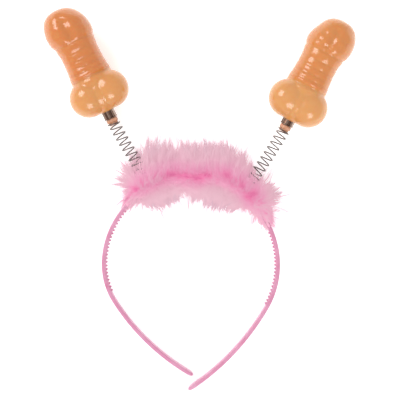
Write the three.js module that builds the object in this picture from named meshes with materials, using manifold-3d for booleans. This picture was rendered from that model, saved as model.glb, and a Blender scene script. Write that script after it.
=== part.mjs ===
// Novelty headband with two sprung bobbles, lying on its side on a flat surface.
// Millimetres. The surface is z = 0, +Y runs from the band's tips to its crown, and left and right
// are as seen from above.

import * as THREE from 'three';
import { mergeVertices } from 'three/addons/utils/BufferGeometryUtils.js';
import Module from 'manifold-3d';

// Clearance between neighbouring pieces, and how near two points are one.
const GAP = 0.3;
const WELD = 1e-4;

// Band: a flat plastic strip. Its loop leans, because the trim lifts the crown off the surface.
const BAND = { thickness: 2.8, width: 8, corner: 0.8, leanDeg: 3, sectionSpacing: 6 };
const BAND_TIP = { length: 12, widthShare: 0.5, thicknessShare: 0.7 };
// Top of the loop, on the strip's middle line.
const CROWN = new THREE.Vector2(-6.2, 15.2);
const CROWN_RADIUS = 59.5;
// Tangent arcs of each arm's middle line, from the top of the loop to the tip.
const ARM_ARCS = {
  left: [
    { radius: CROWN_RADIUS, sweepDeg: 90 },
    { radius: 46, sweepDeg: 32 },
    { radius: 152, sweepDeg: 28.4 },
  ],
  right: [
    { radius: CROWN_RADIUS, sweepDeg: 90 },
    { radius: 59, sweepDeg: 30 },
    { radius: 168, sweepDeg: 26.8 },
  ],
};

// Comb teeth on the strip's inner face, where the trim leaves it bare. From and to are distances
// along the strip from the top of the loop, to the right positive.
const TOOTH = { pitch: 2.57, height: 1.2, along: 1.9, across: 3.6, sunk: 0.4 };
const TOOTH_ROWS = [
  { from: -112, to: -46 },
  { from: 70.5, to: 122 },
];

// Pegs under the trim that the springs stand on. Their middle is turned a little to the right.
const PEG = { radius: 3.2, length: 4, sunk: 1, sides: 12, middleDeg: 3.8, spreadDeg: 33.4 };

// Springs: close coils on the peg, open coils, and a close coil on the plug.
const SPRING = { outerRadius: 4.4, wire: 0.8, wireSides: 5, stepsPerTurn: 10, samplesPerTurn: 60 };
const COIL_RUNS = [
  { share: 0.05, turns: 1.75 },
  { share: 0.92, turns: 11 },
  { share: 0.03, turns: 1 },
];

// Bobble seats: the middle of each bobble's base, and how far its axis leans out from +Y.
const SEATS = {
  left: { x: -62.5, y: 60, outDeg: 27, side: -1 },
  right: { x: 61, y: 55.2, outDeg: 28.6, side: 1 },
};

// Bobble: a hollow shell round its own +Y axis, with its lobes bulging to +Z.
const BOPPER = { wall: 1.6, mostWall: 4, neckRadius: 4.95, ringSides: 20, length: 76 };
// Radius of the base, stem and cap along the axis, without the lobes.
const STEM_PROFILE = [
  { along: 0, radius: 6.5 },
  { along: 2, radius: 9.8 },
  { along: 5, radius: 12.2 },
  { along: 10, radius: 13.4 },
  { along: 20, radius: 14.2 },
  { along: 26, radius: 14.4 },
  { along: 31, radius: 13.8 },
  { along: 36, radius: 13.3 },
  { along: 42, radius: 13.1 },
  { along: 47, radius: 13.3 },
  { along: 51, radius: 14 },
  { along: 54, radius: 15 },
  { along: 58, radius: 16 },
  { along: 62, radius: 15.6 },
  { along: 66, radius: 14.3 },
  { along: 70, radius: 12.1 },
  { along: 73, radius: 9.8 },
  { along: 75, radius: 6.4 },
  { along: 76, radius: 0 },
];
const LOBE = { radius: 13, across: 7.8, along: 13, forward: 4, softness: 1.2 };
const WRINKLES = { from: 29, to: 48, count: 5, height: 0.5, backShare: 0.2 };
// Where the shell's outer and inner skins have their rings of points.
const BASE_RINGS = [0, 1, 3, 6, 10, 14, 18, 21.5, 24.5, 27];
const CAP_RINGS = [50.5, 53, 55.5, 58.5, 62, 65.5, 69, 72, 74.5];
const INNER_RINGS = [71, 64, 57.5, 51, 40, 28, 22, 13, 6];

// Ferrule and plug, along the bobble's axis from its base, downwards.
const FERRULE = { outerRadius: 4.62, innerRadius: 3.75, below: 4.7, inside: 4, sides: 20 };
const PLUG = { coreRadius: 3.4, collarRadius: 3.95, collar: 2.6, nubRadius: 3.2, nub: 2, sides: 16 };

// Feather trim: how far its locks reach from the strip's middle line, at angles round the top of
// the loop, to the right positive.
const TRIM_REACH = [
  { deg: -42, outward: 6, inward: 5.5 },
  { deg: -36, outward: 16, inward: 9 },
  { deg: -29, outward: 20, inward: 16 },
  { deg: -20, outward: 26, inward: 16 },
  { deg: -10, outward: 25, inward: 11 },
  { deg: -2, outward: 24, inward: 13 },
  { deg: 8, outward: 25, inward: 16 },
  { deg: 16, outward: 26, inward: 17 },
  { deg: 26, outward: 22, inward: 18 },
  { deg: 37, outward: 20, inward: 16 },
  { deg: 45, outward: 20, inward: 9 },
  { deg: 52, outward: 17, inward: 7 },
  { deg: 58, outward: 9, inward: 6 },
  { deg: 66, outward: 6, inward: 5.5 },
];
const TRIM = { frontShare: 0.85, least: 5.4, springBoreShare: 0.5 };
const TUFT = { stations: 34, sides: 20, hollowShare: 0.74, lengthJitter: 0.14, sway: 1.2 };
const STRAY = { count: 28, tipShare: 1.12, rootShare: 0.6, halfWidth: 1.6, sway: 3 };

// The surface that the part lies on, as a block for cutting.
const GROUND = { side: 400, depth: 100 };

const MATERIALS = {
  band: { color: 0xe28caf, roughness: 0.4, metalness: 0 },
  trim: { color: 0xeb9cc0, roughness: 0.95, metalness: 0 },
  spring: { color: 0x8f8886, roughness: 0.35, metalness: 1 },
  plug: { color: 0xc8784b, roughness: 0.4, metalness: 0 },
  ferrule: { color: 0xb9b4ae, roughness: 0.25, metalness: 1 },
  bopper: { color: 0xde8c55, roughness: 0.2, metalness: 0 },
};

const wasm = await Module();
wasm.setup();

const rad = THREE.MathUtils.degToRad;
const Y_AXIS = new THREE.Vector3(0, 1, 0);
const Z_AXIS = new THREE.Vector3(0, 0, 1);

// Numbers from 0 to 1 that look random and are the same on every run.
let drawn = 0;
function draw() {
  drawn += 1;
  const wave = Math.sin(drawn * 12.9898) * 43758.5453;
  return wave - Math.floor(wave);
}

const jitter = (size) => (2 * draw() - 1) * size;

// Value of a named column, straight between the rows of a table that is sorted on its key column.
function lookUp(rows, key, column, at) {
  const after = rows.findIndex((row) => row[key] >= at);
  if (after === 0) return rows[0][column];
  if (after < 0) return rows[rows.length - 1][column];
  const low = rows[after - 1];
  const high = rows[after];
  return THREE.MathUtils.mapLinear(at, low[key], high[key], low[column], high[column]);
}

// Signed volume of a triangle mesh, positive where its faces point out.
function volumeOf(positions, index) {
  const corner = (i) => new THREE.Vector3().fromArray(positions, 3 * index[i]);
  let volume = 0;
  for (let i = 0; i < index.length; i += 3) {
    volume += corner(i).dot(corner(i + 1).cross(corner(i + 2))) / 6;
  }
  return volume;
}

// Closed skin through rings of points. A ring of one point is a tip, and a flat end ring is capped.
function skin(rings) {
  const positions = [];
  const starts = [];
  for (const ring of rings) {
    starts.push(positions.length / 3);
    ring.forEach((point) => positions.push(...point.toArray()));
  }
  const index = [];
  for (let r = 0; r + 1 < rings.length; r += 1) {
    const [below, above] = [rings[r].length, rings[r + 1].length];
    for (let i = 0; i < Math.max(below, above); i += 1) {
      const a = starts[r] + (i % below);
      const b = starts[r] + ((i + 1) % below);
      const c = starts[r + 1] + ((i + 1) % above);
      const d = starts[r + 1] + (i % above);
      if (below > 1) index.push(a, b, c);
      if (above > 1) index.push(a, c, d);
    }
  }
  const last = rings.length - 1;
  for (let i = 1; i + 1 < rings[0].length; i += 1) {
    index.push(starts[0], starts[0] + i + 1, starts[0] + i);
  }
  for (let i = 1; i + 1 < rings[last].length; i += 1) {
    index.push(starts[last], starts[last] + i, starts[last] + i + 1);
  }
  if (volumeOf(positions, index) < 0) index.reverse();
  const geometry = new THREE.BufferGeometry();
  geometry.setAttribute('position', new THREE.Float32BufferAttribute(positions, 3));
  geometry.setIndex(index);
  return geometry;
}

// Only the places and faces of a geometry, with the points that faces share merged.
function welded(geometry) {
  const bare = geometry.clone();
  bare.deleteAttribute('normal');
  bare.deleteAttribute('uv');
  return mergeVertices(bare, WELD);
}

// Solid for joining and cutting.
function solid(geometry) {
  const bare = welded(geometry);
  const vertProperties = new Float32Array(bare.attributes.position.array);
  const triVerts = new Uint32Array(bare.index.array);
  if (volumeOf(vertProperties, triVerts) < 0) triVerts.reverse();
  return new wasm.Manifold(new wasm.Mesh({ numProp: 3, vertProperties, triVerts }));
}

function geometryOf(manifold) {
  const { vertProperties, triVerts } = manifold.getMesh();
  const geometry = new THREE.BufferGeometry();
  geometry.setAttribute('position', new THREE.BufferAttribute(vertProperties, 3));
  geometry.setIndex(new THREE.BufferAttribute(triVerts, 1));
  return geometry;
}

// Regular section for a round bar along a path.
function roundSection(radius, sides) {
  const corners = [];
  for (let i = 0; i < sides; i += 1) {
    const turn = (2 * Math.PI * i) / sides;
    corners.push(new THREE.Vector2(Math.cos(turn) * radius, Math.sin(turn) * radius));
  }
  return new THREE.Shape(corners);
}

function piece(name, geometry, material) {
  const mesh = new THREE.Mesh(geometry, new THREE.MeshStandardMaterial(MATERIALS[material]));
  mesh.name = name;
  return mesh;
}

// Middle line of one arm as tangent arcs, from the top of the loop outwards.
function armLine(side, arcs) {
  const line = new THREE.CurvePath();
  const middle = new THREE.Vector2(CROWN.x, CROWN.y - arcs[0].radius);
  let bearing = Math.PI / 2;
  arcs.forEach((arc, i) => {
    const end = bearing - side * rad(arc.sweepDeg);
    line.add(new THREE.ArcCurve(middle.x, middle.y, arc.radius, bearing, end, side > 0));
    bearing = end;
    if (i + 1 < arcs.length) {
      const shift = arc.radius - arcs[i + 1].radius;
      middle.add(new THREE.Vector2(Math.cos(bearing), Math.sin(bearing)).multiplyScalar(shift));
    }
  });
  return line;
}

const ARMS = { left: armLine(-1, ARM_ARCS.left), right: armLine(1, ARM_ARCS.right) };
const STRIP = { start: -ARMS.left.getLength(), end: ARMS.right.getLength() };

// From the loop's own flat plane to where it leans on the surface.
const bandPlace = new THREE.Matrix4().makeRotationX(rad(BAND.leanDeg));

// Frame of the strip at a distance from the top of the loop: its middle, outwards, along and across.
function stripFrame(distance) {
  const side = distance < 0 ? -1 : 1;
  const arm = side < 0 ? ARMS.left : ARMS.right;
  const share = Math.min(Math.abs(distance) / arm.getLength(), 1);
  const flat = arm.getPoint(share);
  const heading = arm.getTangent(share).multiplyScalar(side);
  return {
    middle: new THREE.Vector3(flat.x, flat.y, 0).applyMatrix4(bandPlace),
    outward: new THREE.Vector3(-heading.y, heading.x, 0).transformDirection(bandPlace),
    along: new THREE.Vector3(heading.x, heading.y, 0).transformDirection(bandPlace),
    across: new THREE.Vector3(0, 0, 1).transformDirection(bandPlace),
  };
}

const fromFrame = (frame, out, across, along = 0) => frame.middle.clone()
  .addScaledVector(frame.outward, out)
  .addScaledVector(frame.across, across)
  .addScaledVector(frame.along, along);

// Outline of the strip's section, grown by an allowance, and narrower and thinner near a tip.
function stripRing(distance, allowance) {
  const toTip = Math.min(distance - STRIP.start, STRIP.end - distance);
  const rise = Math.sqrt(1 - (1 - THREE.MathUtils.clamp(toTip / BAND_TIP.length, 0, 1)) ** 2);
  const halfWidth = THREE.MathUtils.lerp(BAND_TIP.widthShare, 1, rise) * BAND.width / 2 + allowance;
  const halfThick = THREE.MathUtils.lerp(BAND_TIP.thicknessShare, 1, rise) * BAND.thickness / 2 + allowance;
  const frame = stripFrame(distance);
  const corners = [
    [halfThick, halfWidth - BAND.corner],
    [halfThick - BAND.corner, halfWidth],
    [BAND.corner - halfThick, halfWidth],
    [-halfThick, halfWidth - BAND.corner],
    [-halfThick, BAND.corner - halfWidth],
    [BAND.corner - halfThick, -halfWidth],
    [halfThick - BAND.corner, -halfWidth],
    [halfThick, BAND.corner - halfWidth],
  ];
  return corners.map(([out, across]) => fromFrame(frame, out, across));
}

// Rings of the strip between two distances, close together near the tips.
function stripRings(from, to, allowance = 0) {
  const steps = Math.ceil((to - from) / BAND.sectionSpacing);
  const stops = Array.from({ length: steps + 1 }, (_, i) => from + ((to - from) * i) / steps);
  for (const inset of [1, 3]) {
    if (from === STRIP.start) stops.push(from + inset);
    if (to === STRIP.end) stops.push(to - inset);
  }
  return stops.sort((a, b) => a - b).map((stop) => stripRing(stop, allowance));
}

// The strip's lowest edge comes to the surface.
const edgeHeights = stripRings(STRIP.start, STRIP.end).flat().map((point) => point.z);
bandPlace.setPosition(0, 0, -Math.min(...edgeHeights));

// Where a peg or spring stands: a distance along the strip for an angle round the top of the loop.
const onCrown = (deg) => rad(deg) * CROWN_RADIUS;
const PEG_AT = {
  left: onCrown(PEG.middleDeg - PEG.spreadDeg),
  right: onCrown(PEG.middleDeg + PEG.spreadDeg),
};

function bandGeometry() {
  let band = solid(skin(stripRings(STRIP.start, STRIP.end)));
  for (const { from, to } of TOOTH_ROWS) {
    const count = Math.floor((to - from) / TOOTH.pitch);
    for (let i = 0; i <= count; i += 1) {
      const frame = stripFrame(from + i * TOOTH.pitch);
      const foot = TOOTH.sunk - BAND.thickness / 2;
      const point = foot - TOOTH.sunk - TOOTH.height;
      const corners = [[1, 1], [1, -1], [-1, -1], [-1, 1]];
      const base = corners.map(([x, y]) => (
        fromFrame(frame, foot, (x * TOOTH.across) / 2, (y * TOOTH.along) / 2)
      ));
      band = band.add(solid(skin([base, [fromFrame(frame, point, 0)]])));
    }
  }
  for (const at of Object.values(PEG_AT)) {
    const frame = stripFrame(at);
    const start = fromFrame(frame, BAND.thickness / 2 - PEG.sunk, 0);
    const end = fromFrame(frame, BAND.thickness / 2 + PEG.length, 0);
    const peg = new THREE.ExtrudeGeometry(roundSection(PEG.radius, PEG.sides), {
      steps: 1,
      bevelEnabled: false,
      extrudePath: new THREE.LineCurve3(start, end),
    });
    band = band.add(solid(peg));
  }
  return geometryOf(band);
}

// Radius of the bobble without its lobes, through the profile's points.
const stemLine = new THREE.CatmullRomCurve3(
  STEM_PROFILE.map(({ along, radius }) => new THREE.Vector3(along, radius, 0)),
  false,
  'centripetal',
);
const stemPoints = stemLine.getPoints(STEM_PROFILE.length * 8)
  .map(({ x, y }) => ({ along: x, radius: y }));

// Reach of a ray from the axis to the far side of a circle, or 0 where it misses.
function circleReach(across, forward, radius, turn) {
  const towards = across * Math.cos(turn) + forward * Math.sin(turn);
  const inside = radius ** 2 - across ** 2 - forward ** 2 + towards ** 2;
  return inside > 0 ? Math.max(towards + Math.sqrt(inside), 0) : 0;
}

// Larger of two reaches, with the crease between them softened.
function softMax(a, b) {
  const mix = Math.max(LOBE.softness - Math.abs(a - b), 0) / LOBE.softness;
  return Math.max(a, b) + (mix ** 2 * LOBE.softness) / 4;
}

// Reach of the bobble's skin from its axis. A turn of 90 degrees faces forward.
function bopperReach(along, turn) {
  let reach = lookUp(stemPoints, 'along', 'radius', along);
  if (along > WRINKLES.from && along < WRINKLES.to) {
    const turns = (WRINKLES.count * (along - WRINKLES.from)) / (WRINKLES.to - WRINKLES.from);
    const facing = THREE.MathUtils.lerp(WRINKLES.backShare, 1, Math.max(Math.sin(turn), 0));
    reach -= (WRINKLES.height / 2) * facing * Math.cos(2 * Math.PI * turns);
  }
  const slice = LOBE.radius ** 2 - (along - LOBE.along) ** 2;
  if (slice <= 0) return reach;
  for (const side of [-1, 1]) {
    reach = softMax(reach, circleReach(side * LOBE.across, LOBE.forward, Math.sqrt(slice), turn));
  }
  return reach;
}

function bopperRing(along, reachAt) {
  return Array.from({ length: BOPPER.ringSides }, (_, i) => {
    const turn = (2 * Math.PI * i) / BOPPER.ringSides;
    const reach = reachAt(turn);
    return new THREE.Vector3(Math.cos(turn) * reach, along, Math.sin(turn) * reach);
  });
}

// One skin from the inside of the cap, down and out through the neck, and up over the outside.
function bopperGeometry() {
  const half = (WRINKLES.to - WRINKLES.from) / WRINKLES.count / 2;
  const stemRings = Array.from({ length: 2 * WRINKLES.count + 1 }, (_, i) => WRINKLES.from + i * half);
  const outerRings = [...BASE_RINGS, ...stemRings, ...CAP_RINGS];
  const neck = () => BOPPER.neckRadius;
  const innerReach = (along, turn) => {
    const slope = bopperReach(along + 0.5, turn) - bopperReach(along - 0.5, turn);
    return bopperReach(along, turn) - Math.min(BOPPER.wall * Math.hypot(1, slope), BOPPER.mostWall);
  };
  const rings = [
    [new THREE.Vector3(0, BOPPER.length - BOPPER.wall, 0)],
    ...INNER_RINGS.map((along) => bopperRing(along, (turn) => innerReach(along, turn))),
    bopperRing(BOPPER.wall, neck),
    bopperRing(0, neck),
    ...outerRings.map((along) => bopperRing(along, (turn) => bopperReach(along, turn))),
    [new THREE.Vector3(0, BOPPER.length, 0)],
  ];
  return skin(rings);
}

// Turned piece round the bobble's axis, from a closed profile of radius and height.
function turned(profile, sides) {
  const points = profile.map(([radius, along]) => new THREE.Vector2(radius, along));
  return welded(new THREE.LatheGeometry(points, sides));
}

const ferruleGeometry = () => turned([
  [FERRULE.innerRadius, -FERRULE.below],
  [FERRULE.outerRadius, -FERRULE.below],
  [FERRULE.outerRadius, FERRULE.inside],
  [FERRULE.innerRadius, FERRULE.inside],
  [FERRULE.innerRadius, -FERRULE.below],
], FERRULE.sides);

const collarTop = -FERRULE.below - GAP;
const collarBottom = collarTop - PLUG.collar;
const plugGeometry = () => turned([
  [0, collarBottom - PLUG.nub],
  [PLUG.nubRadius, collarBottom - PLUG.nub],
  [PLUG.nubRadius, collarBottom],
  [PLUG.collarRadius, collarBottom],
  [PLUG.collarRadius, collarTop],
  [PLUG.coreRadius, collarTop],
  [PLUG.coreRadius, FERRULE.inside],
  [0, FERRULE.inside],
], PLUG.sides);

// A bobble lies with the back of its cap and the back of its base on the surface.
const bopperSkin = bopperGeometry();
function restOnSurface() {
  const places = bopperSkin.attributes.position;
  const cap = STEM_PROFILE.reduce((widest, row) => (row.radius > widest.radius ? row : widest));
  let tilt = Infinity;
  for (let i = 0; i < places.count; i += 1) {
    if (places.getY(i) > cap.along / 2) continue;
    tilt = Math.min(tilt, Math.atan2(cap.radius + places.getZ(i), cap.along - places.getY(i)));
  }
  return { tilt, height: cap.radius * Math.cos(tilt) - cap.along * Math.sin(tilt) };
}

const REST = restOnSurface();

// Places the bobble with its ferrule and plug: base on its seat, axis leaning out.
function bopperPlace(seat) {
  const turn = new THREE.Euler(REST.tilt, 0, -seat.side * rad(seat.outDeg), 'ZXY');
  const place = new THREE.Matrix4().makeRotationFromEuler(turn);
  return place.setPosition(seat.x, seat.y, REST.height);
}

// Middle line of a spring: square off the strip at its peg, and in line with the bobble at its plug.
function springLine(name) {
  const frame = stripFrame(PEG_AT[name]);
  const start = fromFrame(frame, BAND.thickness / 2 + GAP + SPRING.wire / 2, 0);
  const place = bopperPlace(SEATS[name]);
  const end = new THREE.Vector3(0, collarBottom - GAP - SPRING.wire / 2, 0).applyMatrix4(place);
  const axis = Y_AXIS.clone().transformDirection(place);
  const bend = end.clone().addScaledVector(axis, -start.distanceTo(end) / 2);
  return new THREE.QuadraticBezierCurve3(start, bend, end);
}

// Wire of a spring: coils of changing pitch round its middle line.
class CoilCurve extends THREE.Curve {
  constructor(line) {
    super();
    this.line = line;
    this.turns = COIL_RUNS.reduce((sum, run) => sum + run.turns, 0);
    this.arcLengthDivisions = Math.ceil(this.turns * SPRING.samplesPerTurn);
  }

  getPoint(t, target = new THREE.Vector3()) {
    let left = t * this.turns;
    let share = 0;
    for (const run of COIL_RUNS) {
      share += run.share * THREE.MathUtils.clamp(left / run.turns, 0, 1);
      left -= run.turns;
    }
    const heading = this.line.getTangent(share);
    const across = heading.clone().cross(Z_AXIS).normalize();
    const up = across.clone().cross(heading);
    const turn = 2 * Math.PI * t * this.turns;
    const radius = SPRING.outerRadius - SPRING.wire / 2;
    return target.copy(this.line.getPoint(share))
      .addScaledVector(across, Math.cos(turn) * radius)
      .addScaledVector(up, Math.sin(turn) * radius);
  }
}

function springGeometry(name) {
  const coil = new CoilCurve(springLine(name));
  return new THREE.ExtrudeGeometry(roundSection(SPRING.wire / 2, SPRING.wireSides), {
    steps: Math.round(coil.turns * SPRING.stepsPerTurn),
    bevelEnabled: false,
    extrudePath: coil,
  });
}

// Reach of the trim at an angle round the top of the loop, in a direction round the strip's section:
// 0 is outwards, 90 degrees up from the surface and 180 inwards.
function trimReach(deg, turn) {
  const outward = lookUp(TRIM_REACH, 'deg', 'outward', deg);
  const inward = lookUp(TRIM_REACH, 'deg', 'inward', deg);
  const front = Math.max((TRIM.frontShare * (outward + inward)) / 2, TRIM.least);
  const side = Math.cos(turn) > 0 ? outward : inward;
  return 1 / Math.hypot(Math.cos(turn) / side, Math.sin(turn) / front);
}

const trimFrame = (deg) => stripFrame(onCrown(deg));

// Ring of the trim's tufts round the strip: lock tips in turn with the hollows between them, and
// staggered from ring to ring. An end ring draws in to the strip.
function tuftRing(deg, station, isEnd) {
  const frame = trimFrame(deg);
  return Array.from({ length: TUFT.sides }, (_, i) => {
    const turn = (2 * Math.PI * i) / TUFT.sides;
    const isTip = (station + i) % 2 === 0;
    const share = isTip ? 1 - draw() * TUFT.lengthJitter : TUFT.hollowShare;
    const reach = isEnd ? TRIM.least : Math.max(trimReach(deg, turn) * share, TRIM.least);
    return fromFrame(frame, Math.cos(turn) * reach, Math.sin(turn) * reach, isTip ? jitter(TUFT.sway) : 0);
  });
}

// One stray lock: a fine point whose root is inside the tufts.
function strayLock(deg, turn) {
  const frame = trimFrame(deg);
  const [out, up] = [Math.cos(turn), Math.sin(turn)];
  const tip = trimReach(deg, turn) * STRAY.tipShare;
  const root = tip * STRAY.rootShare;
  const corners = [[1, 0], [0, 1], [-1, 0], [0, -1]];
  const foot = corners.map(([along, around]) => {
    const side = around * STRAY.halfWidth;
    return fromFrame(frame, out * root - up * side, up * root + out * side, along * STRAY.halfWidth);
  });
  return skin([foot, [fromFrame(frame, out * tip, up * tip, jitter(STRAY.sway))]]);
}

// Tufts and stray locks on their backing, opened for the strip and the springs, and flat where they rest.
function trimGeometry() {
  const [first, last] = [TRIM_REACH[0].deg, TRIM_REACH[TRIM_REACH.length - 1].deg];
  const rings = [];
  for (let i = 0; i <= TUFT.stations; i += 1) {
    const deg = THREE.MathUtils.lerp(first, last, i / TUFT.stations);
    rings.push(tuftRing(deg, i, i === 0 || i === TUFT.stations));
  }
  let trim = solid(skin(rings));
  for (let i = 0; i < STRAY.count; i += 1) {
    const deg = THREE.MathUtils.lerp(first, last, (i + draw()) / STRAY.count);
    trim = trim.add(solid(strayLock(deg, 2 * Math.PI * draw())));
  }
  const past = BAND.width;
  trim = trim.subtract(solid(skin(stripRings(onCrown(first) - past, onCrown(last) + past, GAP))));
  for (const name of Object.keys(SEATS)) {
    const line = springLine(name);
    const start = line.getPoint(0).addScaledVector(line.getTangent(0), -GAP - SPRING.wire);
    const bore = new THREE.ExtrudeGeometry(roundSection(SPRING.outerRadius + 2 * GAP, PEG.sides), {
      steps: 1,
      bevelEnabled: false,
      extrudePath: new THREE.LineCurve3(start, line.getPoint(TRIM.springBoreShare)),
    });
    trim = trim.subtract(solid(bore));
  }
  const ground = new THREE.BoxGeometry(GROUND.side, GROUND.side, GROUND.depth);
  ground.translate(0, 0, -GROUND.depth / 2);
  const bodies = trim.subtract(solid(ground)).decompose();
  return geometryOf(bodies.reduce((largest, body) => (body.volume() > largest.volume() ? body : largest)));
}

const headband = new THREE.Group();
headband.add(piece('band', bandGeometry(), 'band'));
headband.add(piece('marabou_trim', trimGeometry(), 'trim'));
for (const [name, seat] of Object.entries(SEATS)) {
  headband.add(piece(`spring_${name}`, springGeometry(name), 'spring'));
  const holder = new THREE.Group();
  bopperPlace(seat).decompose(holder.position, holder.quaternion, holder.scale);
  holder.add(piece(`plug_${name}`, plugGeometry(), 'plug'));
  holder.add(piece(`ferrule_${name}`, ferruleGeometry(), 'ferrule'));
  holder.add(piece(`bopper_${name}`, bopperSkin.clone(), 'bopper'));
  headband.add(holder);
}

export default headband;
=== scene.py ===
# %% [markdown]
# A party headband with two sprung bobbles.
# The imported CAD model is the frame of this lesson: it says where each piece is and which body carries it.
# Blender gives every piece its real surface. A springy strip of pink plastic is bent with Spin, feather
# down is laid on it barb by barb, springs are drawn with Screw, and the bobbles are grown ring by ring
# and then fused.

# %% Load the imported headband
import math
import bmesh
import bpy
import numpy as np
from mathutils import Matrix, Vector


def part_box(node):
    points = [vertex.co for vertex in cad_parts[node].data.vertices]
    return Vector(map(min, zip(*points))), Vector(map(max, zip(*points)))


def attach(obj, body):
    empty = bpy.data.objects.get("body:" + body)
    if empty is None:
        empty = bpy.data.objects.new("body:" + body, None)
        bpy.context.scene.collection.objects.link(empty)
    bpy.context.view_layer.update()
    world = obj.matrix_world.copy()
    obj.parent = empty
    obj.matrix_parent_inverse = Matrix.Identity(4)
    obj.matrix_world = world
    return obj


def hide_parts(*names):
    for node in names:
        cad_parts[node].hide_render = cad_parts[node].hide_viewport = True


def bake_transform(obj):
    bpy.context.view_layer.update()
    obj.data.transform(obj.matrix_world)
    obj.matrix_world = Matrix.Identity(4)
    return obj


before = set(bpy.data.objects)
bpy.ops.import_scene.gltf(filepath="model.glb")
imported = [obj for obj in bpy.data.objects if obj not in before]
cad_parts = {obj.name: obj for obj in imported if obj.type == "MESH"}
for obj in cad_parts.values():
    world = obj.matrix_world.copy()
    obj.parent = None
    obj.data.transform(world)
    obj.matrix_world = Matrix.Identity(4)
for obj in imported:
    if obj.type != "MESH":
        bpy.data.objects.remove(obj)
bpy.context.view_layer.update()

MM = 0.001

# %% [markdown]
# The camera.
# The headband lies on a surface and the camera hangs straight above it, so that the picture shows it as
# the photograph does. A long lens keeps the far and near pieces at nearly one scale. The lens is worked
# out from how much of the surface the picture spans.

# %% Hang the camera above the headband
PIXEL = 0.685 * MM
PICTURE_SIDE = 400 * PIXEL
CAMERA_HEIGHT = 900 * MM
MIDDLE_HEIGHT = 8 * MM

bpy.ops.object.select_all(action="DESELECT")
bpy.ops.object.camera_add(location=(0, 0, CAMERA_HEIGHT), rotation=(0, 0, 0))
camera = bpy.context.object
camera.name = "camera_above"
camera.data.lens = camera.data.sensor_width * (CAMERA_HEIGHT - MIDDLE_HEIGHT) / PICTURE_SIDE
bpy.context.scene.camera = camera
print("lens in mm:", round(camera.data.lens, 1))

# %% [markdown]
# Materials, in a few small helpers.
# A colour given here is an sRGB hex value, and shaders work in linear light, so one function turns the
# first into the second. The next makes a material, and what is the same all over goes straight on its
# shader. Another adds a node, sets it, fills or links its inputs and passes its first output on. The last
# turns the size of a pattern into the scale that a noise asks for.

# %% Helpers for materials
def to_linear(code):
    """An sRGB hex colour as the linear colour that a shader takes."""
    channels = [int(code[i:i + 2], 16) / 255 for i in (1, 3, 5)]
    linear = [c / 12.92 if c <= 0.04045 else ((c + 0.055) / 1.055) ** 2.4 for c in channels]
    return (*linear, 1.0)


def new_material(name, values):
    """A material and the one shader in it, with these values on the shader's own sockets."""
    material = bpy.data.materials.new(name)
    material.use_nodes = True
    shader = material.node_tree.nodes["Principled BSDF"]
    for socket, value in values.items():
        shader.inputs[socket].default_value = value
    return material, shader


def add_node(material, kind, inputs=None, feeds=None, stops=None, **settings):
    """Add a node with its inputs as values or links, a ramp's stops, and where its output goes."""
    tree = material.node_tree
    node = tree.nodes.new(kind)
    for name, value in settings.items():
        setattr(node, name, value)
    for name, value in (inputs or {}).items():
        if isinstance(value, bpy.types.NodeSocket):
            tree.links.new(value, node.inputs[name])
        else:
            node.inputs[name].default_value = value
    for index, (place, code) in enumerate(stops or []):
        if index > 1:
            node.color_ramp.elements.new(1.0)
        node.color_ramp.elements[index].position = place
        node.color_ramp.elements[index].color = to_linear(code)
    if feeds:
        tree.links.new(node.outputs[0], feeds)
    return node


def per_metre(size_mm):
    """The scale of a noise whose features are this many millimetres across."""
    return 1 / (size_mm * MM)


print("middle grey in linear light:", round(to_linear("#808080")[0], 3))

# %% [markdown]
# The floor and the light.
# A sheet of white paper lies under the headband on a light table, which glows through it and thins the
# shadows. A pale dome lights all of it from all round, and two large softboxes give the bobbles their
# bright windows, from the upper left and from below.

# %% Lay the paper and hang the softboxes
# Matt paper: no shine, and a tooth too fine to see, drawn here as a barely grey mottle.
paper, paper_shader = new_material("matt_white_paper", {
    "Roughness": 0.9, "Emission Color": to_linear("#ffffff"), "Emission Strength": 0.38})
paper_place = add_node(paper, "ShaderNodeTexCoord")
paper_noise = add_node(paper, "ShaderNodeTexNoise",
                       {"Vector": paper_place.outputs["Object"], "Scale": per_metre(40)})
add_node(paper, "ShaderNodeValToRGB", {"Fac": paper_noise.outputs[0]}, paper_shader.inputs["Base Color"],
         [(0.3, "#f7f7f7"), (0.7, "#fafafa")])

FLOOR_SIDE = 6.0
FLOOR_BELOW = 0.2 * MM
bpy.ops.mesh.primitive_plane_add(size=FLOOR_SIDE, location=(0, 0, -FLOOR_BELOW))
floor = bpy.context.object
floor.name = "studio_floor"
floor.data.materials.append(paper)

world = bpy.data.worlds.new("pale_dome")
bpy.context.scene.world = world
world.use_nodes = True
world.node_tree.nodes["Background"].inputs["Color"].default_value = to_linear("#ffffff")
world.node_tree.nodes["Background"].inputs["Strength"].default_value = 0.85

SOFTBOX_SIDE = 1050 * MM
# direction towards the light, distance in metres, power in watts
SOFTBOXES = {
    "softbox_upper_left": ((-0.63, 0.43, 0.62), 2.0, 15.0),
    "softbox_below": ((0.15, -0.75, 0.64), 2.0, 13.0),
}
for name, (direction, distance, power) in SOFTBOXES.items():
    towards = Vector(direction).normalized()
    turn = towards.to_track_quat("Z", "Y").to_euler()
    bpy.ops.object.light_add(type="AREA", location=towards * distance, rotation=turn)
    bpy.context.object.name = name
    bpy.context.object.data.size = SOFTBOX_SIDE
    bpy.context.object.data.energy = power

bpy.context.scene.view_settings.view_transform = "Standard"
print("lights:", ", ".join(SOFTBOXES))

# %% [markdown]
# Helpers for modelling.
# An operator works on whatever is selected, so each piece is first made the only one. These helpers start
# a primitive with its place in its mesh, pick faces by where they are, finish with a modifier, join
# pieces, and read or move a piece's points.

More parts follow.
